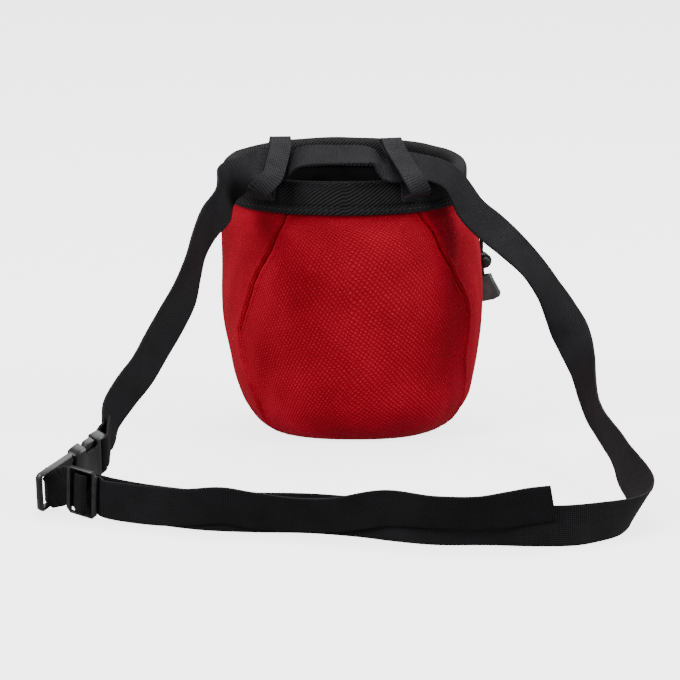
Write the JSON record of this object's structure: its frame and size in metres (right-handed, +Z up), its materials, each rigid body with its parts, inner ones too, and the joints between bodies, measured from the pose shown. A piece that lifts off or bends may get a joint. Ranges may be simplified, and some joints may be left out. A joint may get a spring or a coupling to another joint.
{
  "type": "climbing_chalk_bag",
  "caption": "Round red fabric chalk bag with a stiff black binding round its open top, a webbing waist belt with side-release buckle and slider, and a drawcord with cord lock.",
  "frame": {"origin": "centre of the bag's base, on the surface that it stands on", "axes": "+Z up, -Y towards the side with the belt loops, +X to the right of that side"},
  "size_m": [0.3042, 0.3614, 0.1609],
  "materials": {
    "red_fabric": "matte",
    "black_binding": "matte",
    "black_lining": "matte",
    "black_webbing": "satin",
    "buckle_plastic": "gloss",
    "black_cord": "matte",
    "lock_plastic": "satin",
    "grey_plastic": "satin"
  },
  "bodies": {
    "root": {"back_panel": "red_fabric", "front_panel": "red_fabric", "base_panel": "red_fabric", "rim_binding": "black_binding", "lining": "black_lining", "belt_loop_left": "black_webbing", "belt_loop_right": "black_webbing", "waist_belt": "black_webbing", "buckle_socket": "buckle_plastic", "buckle_plug": "buckle_plastic", "strap_slider": "buckle_plastic", "drawcord": "black_cord", "cord_lock_barrel": "lock_plastic", "cord_end": "grey_plastic"},
    "lock_button": {"cord_lock_button": "lock_plastic"}
  },
  "joints": [
    {"name": "cord_lock_press", "type": "slide", "parent": "root", "child": "lock_button", "axis": [-0.2402, 0.9707, 0], "range_m": [0, 0.002], "stiffness_N_per_m": 200}
  ]
}
